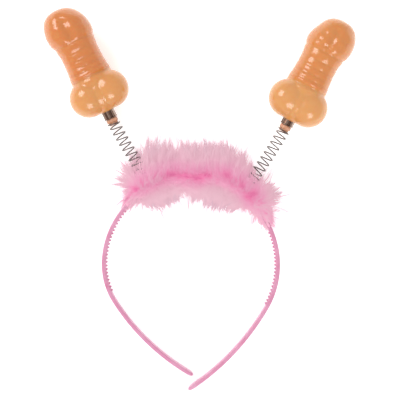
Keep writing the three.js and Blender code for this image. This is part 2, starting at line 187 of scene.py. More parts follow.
# %% Helpers for modelling
def select_none():
    """Leave edit mode and select nothing."""
    if bpy.context.object and bpy.context.object.mode != "OBJECT":
        bpy.ops.object.mode_set(mode="OBJECT")
    bpy.ops.object.select_all(action="DESELECT")


def use(obj, mode="OBJECT"):
    """Make one piece the only selected and active one, in object or edit mode."""
    select_none()
    obj.select_set(True)
    bpy.context.view_layer.objects.active = obj
    bpy.ops.object.mode_set(mode=mode)


def start(primitive, **settings):
    """Add a primitive with nothing else selected, and put its place in its mesh."""
    select_none()
    primitive(**settings)
    bpy.ops.object.transform_apply(location=True, rotation=True, scale=True)
    return bpy.context.object


def pick(obj, wanted):
    """In edit mode, select the faces that a test on their middle and normal picks."""
    bpy.ops.mesh.select_mode(type="FACE")
    bpy.ops.mesh.select_all(action="DESELECT")
    mesh = bmesh.from_edit_mesh(obj.data)
    for face in mesh.faces:
        if wanted(face.calc_center_median(), face.normal):
            face.select_set(True)
    bmesh.update_edit_mesh(obj.data)


def finish_with(obj, kind, **settings):
    """Add a modifier to a piece and apply it."""
    use(obj)
    modifier = obj.modifiers.new(kind, kind)
    for name, value in settings.items():
        setattr(modifier, name, value)
    bpy.ops.object.modifier_apply(modifier=modifier.name)


def join(pieces, name):
    """Join pieces into the first one, under a name."""
    use(pieces[0])
    for piece in pieces:
        piece.select_set(True)
    bpy.ops.object.join()
    pieces[0].name = name
    return pieces[0]


def outside_out(obj):
    """Merge doubles and turn every face outwards."""
    use(obj, "EDIT")
    bpy.ops.mesh.select_all(action="SELECT")
    bpy.ops.mesh.remove_doubles(threshold=0.001 * MM)
    bpy.ops.mesh.normals_make_consistent(inside=False)
    bpy.ops.object.mode_set(mode="OBJECT")


def read_points(obj):
    """The piece's points as an array, one row each."""
    points = np.empty(len(obj.data.vertices) * 3)
    obj.data.vertices.foreach_get("co", points)
    return points.reshape(-1, 3)


def write_points(obj, points):
    """Move the piece's points to the rows of an array."""
    obj.data.vertices.foreach_set("co", points.astype(np.float32).ravel())
    obj.data.update()


def keep(obj, name, values):
    """Keep one number for each point of a piece, for its material to read."""
    attribute = obj.data.attributes.new(name, "FLOAT", "POINT")
    attribute.data.foreach_set("value", values.astype(np.float32).ravel())


def count_triangles(obj):
    """How many triangles a mesh has."""
    return sum(len(polygon.vertices) - 2 for polygon in obj.data.polygons)


# %% [markdown]
# The band's plastic.
# The band is injection-moulded polystyrene, dyed right through. The mould leaves it glossy with a faint
# ripple, and a thin edge lets a little light in, so the pink is never quite even.

# %% Moulded pink polystyrene
# A smooth dyed plastic: a clear gloss over soft pink, slightly lit from inside.
pink_plastic, shader = new_material("moulded_pink_polystyrene", {
    "Roughness": 0.3, "IOR": 1.55,
    "Subsurface Weight": 0.25, "Subsurface Radius": (1.0, 0.5, 0.6), "Subsurface Scale": 1.2 * MM})
place = add_node(pink_plastic, "ShaderNodeTexCoord")
flow = add_node(pink_plastic, "ShaderNodeTexNoise",
                {"Vector": place.outputs["Object"], "Scale": per_metre(9), "Detail": 3.0})
add_node(pink_plastic, "ShaderNodeValToRGB", {"Fac": flow.outputs[0]}, shader.inputs["Base Color"],
         [(0.35, "#c97f9f"), (0.65, "#d092ae")])
ripple = add_node(pink_plastic, "ShaderNodeTexNoise",
                  {"Vector": place.outputs["Object"], "Scale": per_metre(2.2), "Detail": 2.0})
add_node(pink_plastic, "ShaderNodeBump",
         {"Height": ripple.outputs[0], "Strength": 0.12, "Distance": 0.2 * MM}, shader.inputs["Normal"])
print("made", pink_plastic.name)

# %% [markdown]
# The band's bend.
# The strip is a flat spring: a row of smooth bends that run into each other, down to two tips that cross.
# A curve with a profile could follow it, but Spin does what a bending jig does: it turns the strip's
# section about the centre of each bend in turn. The section starts at the top of the loop, and each arm
# is spun from there.

# %% Work out the bends
STRIP_THICK = 2.8 * MM
STRIP_WIDE = 8.0 * MM
STRIP_CORNER = 0.8 * MM
LOOP_TOP = Vector((-6.2, 15.2, 0)) * MM
LEAN = math.radians(3)
# radius in mm and turn in degrees of each bend, from the top of the loop down an arm
BENDS = {
    -1: [(59.5, 90.0), (46.0, 32.0), (152.0, 28.4)],
    1: [(59.5, 90.0), (59.0, 30.0), (168.0, 26.8)],
}


def outward(turn, side):
    """The direction out of the loop, after an arm has turned this far."""
    return Vector((side * math.sin(turn), math.cos(turn), 0))


def arm_bends(side):
    """Each bend of an arm: its centre, its radius, where it starts and how far it turns."""
    point = LOOP_TOP.copy()
    turn = 0.0
    for radius, degrees in BENDS[side]:
        centre = point - outward(turn, side) * radius * MM
        yield centre, radius * MM, turn, math.radians(degrees)
        turn += math.radians(degrees)
        point = centre + outward(turn, side) * radius * MM


def strip_frame(distance):
    """The middle of the strip and its outward direction, at a distance from the top (right is positive)."""
    side = 1 if distance >= 0 else -1
    left = abs(distance)
    for centre, radius, turn, sweep in arm_bends(side):
        here = turn + min(left / radius, sweep)
        if left <= sweep * radius:
            break
        left -= sweep * radius
    return centre + outward(here, side) * radius, outward(here, side)


for distance in (-180, 180):
    middle, out = strip_frame(distance * MM)
    print(distance, "mm from the top the strip is at", [round(value / MM, 1) for value in middle])

# %% [markdown]
# The strip.
# Its section is a small plane whose corners are rounded with a vertex bevel, emptied to a loop of edges.
# Spin carries the loop down one arm and then the other. Over the last millimetres it goes on in short
# turns, scaled a little at each, which rounds the tip as the mould does. A face closes the last loop.

# %% Spin the strip
BEND_STEP = 2.5 * MM
TIP_LENGTH = 12 * MM
TIP_STEPS = 14
TIP_WIDTH_SHARE = 0.4
TIP_THICK_SHARE = 0.3
TIP_SHARPNESS = 3


def tip_share(step, end_share):
    """How much of the strip's width is left, a step along the rounded tip."""
    along = (step / TIP_STEPS) ** TIP_SHARPNESS
    return 1 - (1 - end_share) * (1 - math.sqrt(max(1 - along ** 2, 0)))


def spin_arm(side):
    """Spin the selected section down one arm, round its tip and close it."""
    # with no window open, Spin turns clockwise about its axis
    axis = (0, 0, side)
    bends = list(arm_bends(side))
    for number, (centre, radius, turn, sweep) in enumerate(bends):
        if number == len(bends) - 1:
            sweep -= TIP_LENGTH / radius
        bpy.ops.mesh.spin(steps=round(sweep * radius / BEND_STEP), angle=sweep, center=centre, axis=axis)
        turn += sweep
    for step in range(1, TIP_STEPS + 1):
        angle = TIP_LENGTH / TIP_STEPS / radius
        bpy.ops.mesh.spin(steps=1, angle=angle, center=centre, axis=axis)
        turn += angle
        thin = tip_share(step, TIP_THICK_SHARE) / tip_share(step - 1, TIP_THICK_SHARE)
        narrow = tip_share(step, TIP_WIDTH_SHARE) / tip_share(step - 1, TIP_WIDTH_SHARE)
        middle = centre + outward(turn, side) * radius
        bpy.ops.transform.resize(value=(thin, thin, narrow), center_override=middle)
    bpy.ops.mesh.edge_face_add()


strip = start(bpy.ops.mesh.primitive_plane_add, size=1, location=LOOP_TOP, rotation=(0, math.pi / 2, 0))
use(strip, "EDIT")
bpy.ops.mesh.select_all(action="SELECT")
bpy.ops.transform.resize(value=(1, STRIP_THICK, STRIP_WIDE), center_override=LOOP_TOP)
bpy.ops.mesh.bevel(offset=STRIP_CORNER, segments=3, affect="VERTICES")
bpy.ops.mesh.delete(type="ONLY_FACE")
for side in (1, -1):
    bpy.ops.mesh.select_mode(type="VERT")
    bpy.ops.mesh.select_all(action="DESELECT")
    section = bmesh.from_edit_mesh(strip.data)
    for vertex in section.verts:
        if abs(vertex.co.x - LOOP_TOP.x) < 0.01 * MM and vertex.co.y > 0:
            vertex.select_set(True)
    section.select_flush(True)
    bmesh.update_edit_mesh(strip.data)
    spin_arm(side)
outside_out(strip)
print("strip:", count_triangles(strip), "triangles")

# %% [markdown]
# Comb teeth.
# A row of small blunt teeth on the inner face of each side keeps the band in the hair. One tooth is
# modelled: a block whose free end is drawn in and whose edges are rounded. The rest are copies, each
# turned to the strip where it stands.

# %% Model one tooth and copy it along the strip
TOOTH_LONG = 1.9 * MM
TOOTH_TALL = 1.2 * MM
TOOTH_WIDE = 3.6 * MM
TOOTH_SUNK = 0.4 * MM
TOOTH_PITCH = 2.57 * MM
# what is left of the tooth's length and width at its free end, and how round its edges are
TOOTH_DRAWN_IN = (0.42, 1, 0.72)
TOOTH_ROUND = 0.3 * MM
# first and last tooth of each row, in mm along the strip from the top of the loop
TOOTH_ROWS = [(-112, -46), (70.5, 122)]

tooth = start(bpy.ops.mesh.primitive_cube_add, size=1, location=(0, 0, 0))
use(tooth, "EDIT")
bpy.ops.mesh.select_all(action="SELECT")
bpy.ops.transform.resize(value=(TOOTH_LONG, TOOTH_TALL + TOOTH_SUNK, TOOTH_WIDE))
bpy.ops.transform.translate(value=(0, (TOOTH_TALL - TOOTH_SUNK) / 2, 0))
pick(tooth, lambda middle, normal: normal.y > 0.9)
bpy.ops.transform.resize(value=TOOTH_DRAWN_IN, center_override=(0, TOOTH_TALL, 0))
bpy.ops.mesh.bevel(offset=TOOTH_ROUND, segments=2, affect="EDGES")
bpy.ops.object.mode_set(mode="OBJECT")

teeth = []
for first, last in TOOTH_ROWS:
    for number in range(int((last - first) * MM / TOOTH_PITCH) + 1):
        middle, out = strip_frame(first * MM + number * TOOTH_PITCH)
        inward = -out
        along = inward.cross(Vector((0, 0, 1)))
        turn = Matrix((along, inward, along.cross(inward))).transposed()
        copy = tooth.copy()
        copy.data = tooth.data.copy()
        copy.data.transform(Matrix.Translation(middle + inward * STRIP_THICK / 2) @ turn.to_4x4())
        bpy.context.collection.objects.link(copy)
        teeth.append(copy)
bpy.data.objects.remove(tooth)
print("teeth:", len(teeth))

# %% [markdown]
# One moulding.
# Two plain pegs under the trim carry the springs. They are cylinders with a rounded top. Pegs and teeth
# are joined, and one exact Boolean unites them with the strip. The crown rests on the thick trim, so the
# band leans a little, and it is moved until its lowest point touches the paper.

# %% Add the pegs, make it one moulding and lay it down
PEG_RADIUS = 3.2 * MM
PEG_TALL = 4.0 * MM
PEG_ROUND = 0.5 * MM
CROWN_RADIUS = BENDS[1][0][0] * MM
# degrees round the crown from the top of the loop, right positive
PEG_DEGREES = {"left": -29.6, "right": 37.2}

for degrees in PEG_DEGREES.values():
    middle, out = strip_frame(math.radians(degrees) * CROWN_RADIUS)
    turn = out.to_track_quat("Z", "X").to_euler()
    peg = start(bpy.ops.mesh.primitive_cylinder_add, vertices=32, radius=PEG_RADIUS, depth=PEG_TALL,
                location=middle + out * (PEG_TALL / 2 + STRIP_THICK / 4), rotation=turn)
    use(peg, "EDIT")
    pick(peg, lambda face_middle, normal: normal.dot(out) > 0.9)
    bpy.ops.mesh.bevel(offset=PEG_ROUND, segments=3, affect="EDGES")
    bpy.ops.object.mode_set(mode="OBJECT")
    teeth.append(peg)
fittings = join(teeth, "fittings")
finish_with(strip, "BOOLEAN", operation="UNION", solver="EXACT", object=fittings)
bpy.data.objects.remove(fittings)

use(strip)
strip.rotation_euler.x = LEAN
bpy.ops.object.transform_apply(rotation=True)
strip.location.z = -read_points(strip)[:, 2].min()
lift = strip.location.z
bpy.ops.object.transform_apply(location=True)
bpy.ops.object.shade_smooth_by_angle(angle=math.radians(40))
strip.name = "band_strip"
strip.data.materials.append(pink_plastic)
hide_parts("band")
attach(strip, "root")
band_place = Matrix.Translation((0, 0, lift)) @ Matrix.Rotation(LEAN, 4, "X")
print("band:", count_triangles(strip), "triangles, lifted", round(lift / MM, 2), "mm")

# %% [markdown]
# Where the bobbles stand.
# Each plug and ferrule is a round piece on its bobble's own axis, so a line through the middles of their
# CAD boxes is that axis. With the surface's normal it gives the bobble's frame: across, along and front.

# %% Read each bobble's frame from the CAD
FERRULE_BELOW = 4.7 * MM
FERRULE_INSIDE = 4.0 * MM
SIDES = ("left", "right")


def box_middle(node):
    """The middle of a CAD node's box."""
    low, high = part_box(node)
    return (Vector(low) + Vector(high)) / 2


bobble_place = {}
for side in SIDES:
    ferrule_middle = box_middle("ferrule_" + side)
    along = (ferrule_middle - box_middle("plug_" + side)).normalized()
    across = Vector((along.y, -along.x, 0)).normalized()
    turn = Matrix((across, along, across.cross(along))).transposed().to_4x4()
    base = ferrule_middle + along * (FERRULE_BELOW - FERRULE_INSIDE) / 2
    bobble_place[side] = Matrix.Translation(base) @ turn
    print(side, "bobble stands at", [round(value / MM, 1) for value in base])


def settle(obj, side):
    """Move a piece that was modelled at the origin to its bobble."""
    obj.data.transform(bobble_place[side])
    obj.data.update()


# %% [markdown]
# Spring wire.
# The springs are hard-drawn steel wire. Drawing leaves fine lines and a dull grey shine that looks dark
# against white paper. The springs are tiny in the picture, so the lines are drawn coarser than they are.

# %% Drawn steel wire
# Bare drawn steel: a grey metal with a blurred shine, a little brown where it has been handled.
steel_wire, shader = new_material("hard_drawn_steel_wire", {"Metallic": 1.0, "Roughness": 0.34})
place = add_node(steel_wire, "ShaderNodeTexCoord")
handled = add_node(steel_wire, "ShaderNodeTexNoise",
                   {"Vector": place.outputs["Object"], "Scale": per_metre(3), "Detail": 3.0})
add_node(steel_wire, "ShaderNodeValToRGB", {"Fac": handled.outputs[0]}, shader.inputs["Base Color"],
         [(0.3, "#57504d"), (0.7, "#89827e")])
lines = add_node(steel_wire, "ShaderNodeTexNoise",
                 {"Vector": place.outputs["Object"], "Scale": per_metre(0.4), "Detail": 2.0})
add_node(steel_wire, "ShaderNodeBump", {"Height": lines.outputs[0], "Strength": 0.2, "Distance": 0.1 * MM},
         shader.inputs["Normal"])
print("made", steel_wire.name)

# %% [markdown]
# The springs.
# A spring is a round section wound about a line. The Screw modifier winds it straight, the end coils are
# closed up by sliding each turn along, and the coil is then laid on a line that leaves its peg square and
# meets its plug square. The springs are soft, so the line also bows a little to one side. Each spring is
# made in two lengths, because it bends in two places: sideways low down, and up and down near the bobble.

# %% Wind and lay the springs
WIRE_RADIUS = 0.43 * MM
COIL_RADIUS = 4.0 * MM
WIRE_SIDES = 10
STEPS_PER_TURN = 28
# share of the spring's length and number of turns: closed base coils, open coils, a closed top coil
COIL_RUNS = [(0.05, 1.75), (0.91, 11.0), (0.04, 0.75)]
RUN_TURNS = np.cumsum([0.0] + [turns for share, turns in COIL_RUNS])
RUN_SHARES = np.cumsum([0.0] + [share for share, turns in COIL_RUNS])
PEG_CLEARANCE = 2.1 * MM
PLUG_CLEARANCE = 8.3 * MM
LINE_POINTS = 400
SPLIT_SHARE = 0.58
# how far each spring bows, in mm, where along it the bow starts and is full, and how it falls off again
BOW = {"left": 2.4, "right": -1.5}
BOW_RISES = (0.08, 0.28)
BOW_FALLS = 1.4


def read_off(places, known, rows):
    """Rows of X, Y and Z read off at places between known ones."""
    return np.stack([np.interp(places, known, rows[:, k]) for k in range(3)], axis=1)


def spring_line(side):
    """Points from the peg to the plug, evenly spaced along a smooth line."""
    middle, out = strip_frame(math.radians(PEG_DEGREES[side]) * CROWN_RADIUS)
    foot = band_place @ (middle + out * PEG_CLEARANCE)
    head = bobble_place[side] @ Vector((0, -PLUG_CLEARANCE, 0))
    axis = bobble_place[side].to_3x3() @ Vector((0, 1, 0))
    bend = head - axis * (head - foot).length / 2
    t = np.linspace(0, 1, LINE_POINTS)[:, None]
    points = (1 - t) ** 2 * np.array(foot) + 2 * t * (1 - t) * np.array(bend) + t ** 2 * np.array(head)
    sideways = np.array(bobble_place[side].to_3x3() @ Vector((1, 0, 0)))
    risen = np.clip((t - BOW_RISES[0]) / (BOW_RISES[1] - BOW_RISES[0]), 0, 1)
    fallen = (1 - t) / (1 - BOW_RISES[1])
    points += BOW[side] * MM * (3 * risen ** 2 - 2 * risen ** 3) * fallen ** BOW_FALLS * sideways
    steps = np.linalg.norm(np.diff(points, axis=0), axis=1)
    reached = np.concatenate([[0], np.cumsum(steps)])
    return read_off(np.linspace(0, reached[-1], LINE_POINTS), reached, points)


def wind(side, part, first, last):
    """A length of spring from one turn to another, laid along its line."""
    line = spring_line(side)
    steps = round((last - first) * STEPS_PER_TURN)
    angle = first * 2 * math.pi
    middle = Vector((0, math.cos(angle), math.sin(angle))) * COIL_RADIUS
    coil = start(bpy.ops.mesh.primitive_circle_add, vertices=WIRE_SIDES, radius=WIRE_RADIUS,
                 location=middle, rotation=(angle, 0, 0))
    coil.name = f"spring_{side}_{part}"
    finish_with(coil, "SCREW", axis="X", angle=(last - first) * 2 * math.pi, screw_offset=0, iterations=1,
                steps=steps, render_steps=steps, use_smooth_shade=True)
    points = read_points(coil)
    turns = first + np.arange(len(points)) // WIRE_SIDES / STEPS_PER_TURN
    length = np.linalg.norm(np.diff(line, axis=0), axis=1).sum()
    reached = points[:, 0] + np.interp(turns, RUN_TURNS, RUN_SHARES) * length
    even = np.linspace(0, length, LINE_POINTS)
    heading = np.gradient(line, even, axis=0)
    heading /= np.linalg.norm(heading, axis=1)[:, None]
    across = np.cross(heading, (0, 0, 1))
    across /= np.linalg.norm(across, axis=1)[:, None]
    up = np.cross(across, heading)
    on_line, across, up, heading = [read_off(reached, even, rows) for rows in (line, across, up, heading)]
    beyond = (reached - np.clip(reached, 0, length))[:, None]
    write_points(coil, on_line + heading * beyond + across * points[:, 1:2] + up * points[:, 2:3])
    use(coil, "EDIT")
    bpy.ops.mesh.select_mode(type="EDGE")
    bpy.ops.mesh.select_all(action="DESELECT")
    bpy.ops.mesh.select_non_manifold()
    bpy.ops.mesh.edge_face_add()
    outside_out(coil)
    use(coil)
    bpy.ops.object.shade_smooth_by_angle(angle=math.radians(50))
    coil.data.materials.append(steel_wire)
    return coil, line


split_turn = float(np.interp(SPLIT_SHARE, RUN_SHARES, RUN_TURNS))
split_turn = round(split_turn * STEPS_PER_TURN) / STEPS_PER_TURN
for side in SIDES:
    lower, line = wind(side, "lower", 0.0, split_turn)
    upper, line = wind(side, "upper", split_turn, float(RUN_TURNS[-1]))
    for piece in (lower, upper):
        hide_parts("spring_" + side)
    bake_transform(lower)
    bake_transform(upper)
    print(side, "spring:", count_triangles(lower) + count_triangles(upper), "triangles")

# %% [markdown]
# Ferrule nickel and plug plastic.
# The short tube under each bobble is brass with bright nickel on it, and it mirrors the room in stripes.
# Those light and dark stripes are painted into its colour as streaks along the tube, which also give it a
# faint bump: painted reflections. The plug below it is the bobble's own soft vinyl, moulded solid, so it
# looks deeper.

# %% Nickel plate and plug vinyl
# Bright plate over drawn brass: mirror-like, with painted reflections as light and dark streaks along the
# tube.
nickel, shader = new_material("nickel_plate_with_painted_reflections", {"Metallic": 1.0, "Roughness": 0.2})
around = add_node(nickel, "ShaderNodeAttribute", attribute_name="around")
painted_reflection_streaks = add_node(nickel, "ShaderNodeTexNoise",
                   {"Vector": around.outputs["Vector"], "Scale": 5.0, "Detail": 3.0, "Roughness": 0.6})
# painted reflections: the room's light and dark stripes, set in the plate's colour
add_node(nickel, "ShaderNodeValToRGB", {"Fac": painted_reflection_streaks.outputs[0]}, shader.inputs["Base Color"],
         [(0.42, "#2f1f17"), (0.52, "#7d5f50"), (0.62, "#d8ccc0")])
add_node(nickel, "ShaderNodeBump", {"Height": painted_reflection_streaks.outputs[0], "Strength": 0.3, "Distance": 0.1 * MM},
         shader.inputs["Normal"])

# Solid soft vinyl: satin, a deep orange with lighter patches where it is thin.
plug_vinyl, shader = new_material("moulded_solid_orange_vinyl", {
    "Roughness": 0.3, "IOR": 1.52,
    "Subsurface Weight": 0.3, "Subsurface Radius": (1.0, 0.4, 0.2), "Subsurface Scale": 1.5 * MM})
place = add_node(plug_vinyl, "ShaderNodeTexCoord")
patches = add_node(plug_vinyl, "ShaderNodeTexNoise",
                   {"Vector": place.outputs["Object"], "Scale": per_metre(2.5), "Detail": 2.0})
add_node(plug_vinyl, "ShaderNodeValToRGB", {"Fac": patches.outputs[0]}, shader.inputs["Base Color"],
         [(0.35, "#b87c58"), (0.65, "#d7a588")])
print("made", nickel.name, "and", plug_vinyl.name)

# %% [markdown]
# Ferrules and plugs.
# Both are turned shapes on the bobble's axis, so each is grown as a stack of rings: a disc is extruded
# from step to step and scaled. The ferrule's two end faces are inset and opened, and their rims bridged
# to a bore. It has a rolled lip at its lower end. The plug has three widths: a core inside the tube, a
# collar that shows below it, and a nub that the last coil of the spring is pressed on.

# %% Turn the ferrules and plugs
# in mm: the tube's radius at its rolled lip, at the lip's rounded end and above it, and the lip's height
LIP_RADIUS = 4.62
LIP_END = 4.45
TUBE_RADIUS = 4.4
LIP_TALL = 0.9
TUBE_WALL = 0.6 * MM
# place along the axis and radius in mm, from the plug's nub up into the ferrule
PLUG_STEPS = [(-9.6, 2.9), (-9.3, 3.2), (-7.6, 3.2), (-7.6, 3.6), (-7.3, 3.95), (-5.3, 3.95), (-5.0, 3.6),
              (-5.0, 3.4), (3.7, 3.4), (4.0, 3.1)]
ROUND_SIDES = 48


def grow_rings(steps, sides):
    """A round solid on the Y axis: a disc extruded from step to step and scaled to each radius."""
    first_along, first_radius = steps[0]
    solid = start(bpy.ops.mesh.primitive_circle_add, vertices=sides, radius=first_radius * MM,
                  fill_type="NGON", location=(0, first_along * MM, 0), rotation=(-math.pi / 2, 0, 0))
    use(solid, "EDIT")
    bpy.ops.mesh.select_mode(type="FACE")
    bpy.ops.mesh.select_all(action="SELECT")
    for (before, wide_before), (after, wide_after) in zip(steps, steps[1:]):
        bpy.ops.mesh.extrude_region_move(TRANSFORM_OT_translate={"value": (0, (after - before) * MM, 0)})
        share = wide_after / wide_before
        bpy.ops.transform.resize(value=(share, 1, share), center_override=(0, after * MM, 0))
    outside_out(solid)
    return solid


def mark_around(obj):
    """Keep each point's direction from the axis, so that painted reflection streaks run along the tube."""
    points = read_points(obj)
    sideways = points * (1, 0, 1)
    sideways /= np.maximum(np.linalg.norm(sideways, axis=1), 1e-9)[:, None]
    obj.data.attributes.new("around", "FLOAT_VECTOR", "POINT").data.foreach_set("vector", sideways.ravel())


def turn_ferrule(side):
    """A tube with a rolled lip at its lower end."""
    low = -FERRULE_BELOW / MM
    lip_top = low + LIP_TALL
    steps = [(low, LIP_END), (low + 0.15, LIP_RADIUS), (lip_top - 0.2, LIP_RADIUS), (lip_top, TUBE_RADIUS),
             (FERRULE_INSIDE / MM, TUBE_RADIUS)]
    tube = grow_rings(steps, ROUND_SIDES)
    use(tube, "EDIT")
    pick(tube, lambda middle, normal: abs(normal.y) > 0.95 and abs(middle.x) + abs(middle.z) < 0.1 * MM)
    bpy.ops.mesh.inset(thickness=TUBE_WALL, depth=0)
    bpy.ops.mesh.delete(type="FACE")
    bpy.ops.mesh.select_mode(type="EDGE")
    bpy.ops.mesh.select_non_manifold()
    bpy.ops.mesh.bridge_edge_loops()
    outside_out(tube)
    mark_around(tube)
    tube.name = "ferrule_tube_" + side
    tube.data.materials.append(nickel)
    return tube


def turn_plug(side):
    """The core, collar and nub."""
    plug = grow_rings(PLUG_STEPS, ROUND_SIDES)
    plug.name = "plug_stack_" + side
    plug.data.materials.append(plug_vinyl)
    return plug


for side in SIDES:
    pieces = {"ferrule": (turn_ferrule(side), "ferrule_nickel"), "plug": (turn_plug(side), "plug_plastic")}
    for kind, (piece, slot) in pieces.items():
        settle(piece, side)
        use(piece)
        bpy.ops.object.shade_smooth_by_angle(angle=math.radians(35))
        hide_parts(f"{kind}_{side}")
        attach(piece, side + "_bobble")
        print(piece.name, count_triangles(piece), "triangles")

# %% [markdown]
# Bobble vinyl.
# The bobbles are cast in soft translucent vinyl in a heated mould, so they are glossy, thick and thin by
# turns, and light goes a few millimetres in. The stem looks a deeper orange, the lobes are thinner and
# paler, and a slightly pink bloom lies on the rims.

# %% Translucent cast vinyl
# Cast vinyl: a wet-looking gloss over a glowing orange that drifts from deep to pale along the piece, and
# a narrow pale bloom on the rims.
flesh_vinyl, shader = new_material("cast_translucent_vinyl", {
    "Roughness": 0.18, "IOR": 1.52, "Specular IOR Level": 0.6,
    "Subsurface Weight": 0.6, "Subsurface Radius": (1.0, 0.42, 0.2), "Subsurface Scale": 3.0 * MM,
    "Coat Weight": 0.28, "Coat IOR": 1.6, "Coat Roughness": 0.12,
    "Sheen Weight": 0.3, "Sheen Roughness": 0.2, "Sheen Tint": to_linear("#ffdccb")})
tone = add_node(flesh_vinyl, "ShaderNodeAttribute", attribute_name="tone")
place = add_node(flesh_vinyl, "ShaderNodeTexCoord")
cloud = add_node(flesh_vinyl, "ShaderNodeTexNoise",
                 {"Vector": place.outputs["Object"], "Scale": per_metre(14), "Detail": 2.0})
drift = add_node(flesh_vinyl, "ShaderNodeMath", {0: cloud.outputs[0], 1: 0.10, 2: -0.05},
                 operation="MULTIPLY_ADD")
mixed = add_node(flesh_vinyl, "ShaderNodeMath", {0: tone.outputs["Fac"], 1: drift.outputs[0]},
                 operation="ADD")
add_node(flesh_vinyl, "ShaderNodeValToRGB", {"Fac": mixed.outputs[0]}, shader.inputs["Base Color"],
         [(0.0, "#d39554"), (0.25, "#cf8c49"), (0.5, "#cd833e"), (0.75, "#ca7934"), (1.0, "#c67534")])
dimples = add_node(flesh_vinyl, "ShaderNodeTexNoise",
                   {"Vector": place.outputs["Object"], "Scale": per_metre(3.5), "Detail": 2.0})
add_node(flesh_vinyl, "ShaderNodeBump",
         {"Height": dimples.outputs[0], "Strength": 0.12, "Distance": 0.4 * MM}, shader.inputs["Normal"])
print("made", flesh_vinyl.name)

# %% [markdown]
# The bobbles.
# A bobble could be sculpted, but its body is nearly round, so it is grown as a stack of rings from the
# foot to the cap. Three balls are added at the foot, two lobes and a softer one between them. A voxel
# remesh fuses it all, and a few passes of Smooth soften the joins, as thick vinyl does.

# %% Grow and fuse a bobble
# place along the axis and radius, in mm
BODY_STEPS = [(0.4, 6.5), (2, 9.8), (5, 12.2), (10, 13.6), (20, 14.4), (26, 14.6), (31, 13.9), (36, 13.3),
              (42, 13.1), (47, 13.3), (50, 13.8), (53, 14.8), (56, 15.7), (59.5, 16.1), (63.8, 15.6),
              (68, 14.2), (71.6, 12.1), (74.2, 9.5), (76, 6.4), (76.8, 1.8)]
BODY_SIDES = 48
LOBE_RADIUS = 13.0
LOBE_ACROSS = 7.8
LOBE_ALONG = 13.8
LOBE_FORWARD = 4.0
BETWEEN_LOBES = (8.8, 13.1, 11.9)
VOXEL = 0.7 * MM


def add_ball(across, radius, **settings):
    """A ball at the foot of a bobble, this many mm across from its axis."""
    return start(bpy.ops.mesh.primitive_uv_sphere_add, segments=64, ring_count=32, radius=radius,
                 location=Vector((across, LOBE_ALONG, LOBE_FORWARD)) * MM, **settings)


def grow_form(side):
    """The form of one bobble, at the origin with its axis along Y and its front up."""
    body = grow_rings(BODY_STEPS, BODY_SIDES)
    finish_with(body, "SUBSURF", levels=2, render_levels=2)
    balls = [add_ball(sign * LOBE_ACROSS, LOBE_RADIUS * MM) for sign in (-1, 1)]
    balls.append(add_ball(0, 1, scale=Vector(BETWEEN_LOBES) * MM))
    bobble = join([body, *balls], "bobble_" + side)
    finish_with(bobble, "REMESH", mode="VOXEL", voxel_size=VOXEL)
    finish_with(bobble, "SMOOTH", factor=0.5, iterations=6)
    return bobble


print("a bobble has", len(BODY_STEPS), "rings before it is fused")

# %% [markdown]
# Wrinkles.
# Soft vinyl keeps the wrinkles of its mould: the skin of the stem swells between creases, a valley runs
# down the front of the cap, and shallow hollows cross it. They could be brushed in with Sculpt. Here each
# point is pushed out or in by a few smooth bumps, so that every wrinkle has a place and a depth that can
# be changed. The cap also leans outwards, and the two castings differ a little.

# %% Push the wrinkles in
BOBBLE_LONG = 76.0
# the skin of the stem swells between creases at these places along the axis, by so much, in mm
CREASES = [26.8, 31.2, 35.0, 39.6, 45.2, 51.6]
SWELL = {"left": 0.74, "right": 0.55}
# how much of that is left at the back
BACK_SHARE = 0.12
FOOT_CREASE = {"along": 26.8, "deep": 1.3, "half": 1.4}
RIM_CREASE = {"along": 52.2, "deep": 0.5, "half": 1.1}
# where the stem, the cap and its valley start and end along the axis, and how they fade there, in mm
STEM_SPAN = (27, 53, 3, 3)
CAP_SPAN = (54, 76, 4, 6)
VALLEY_SPAN = (51.0, 74.0, 5, 8)
VALLEY_DEEP = 2.0
VALLEY_HALF = 3.2
# shallow hollows across the front of the cap, left when the soft casting was pulled out of its mould: the
# mm from one to the next, where they start and how deep they are, and how they slant
HOLLOWS = {"left": (8.6, 0.0, 0.26), "right": (7.2, 2.2, 0.26)}
HOLLOW_SLANT = 0.35
# how flat the front of the stem is, and over which half width, in mm
FLAT_FRONT = {"left": 0.65, "right": 0.0}
FLAT_HALF = 5
# how flat the inner shoulder of the cap is, and its place along the axis and half length, in mm
FLATTER = {"left": 0.0, "right": 1.2}
SHOULDER = (67, 7)
# how far the tip of the cap leans outwards, in mm, and where that starts
CAP_LEAN = 2.2
CAP_LEAN_FROM = 46.0
# the right bobble is pressed further on to its ferrule, in mm
SEATED = {"left": 0.0, "right": 1.6}


def bell(place, middle, half):
    """A smooth bump of height one."""
    return np.exp(-((place - middle) / half) ** 2)


def within(place, first, last, rise, fall):
    """One between two places, fading to nothing at both."""
    return np.clip((place - first) / rise, 0, 1) * np.clip((last - place) / fall, 0, 1)


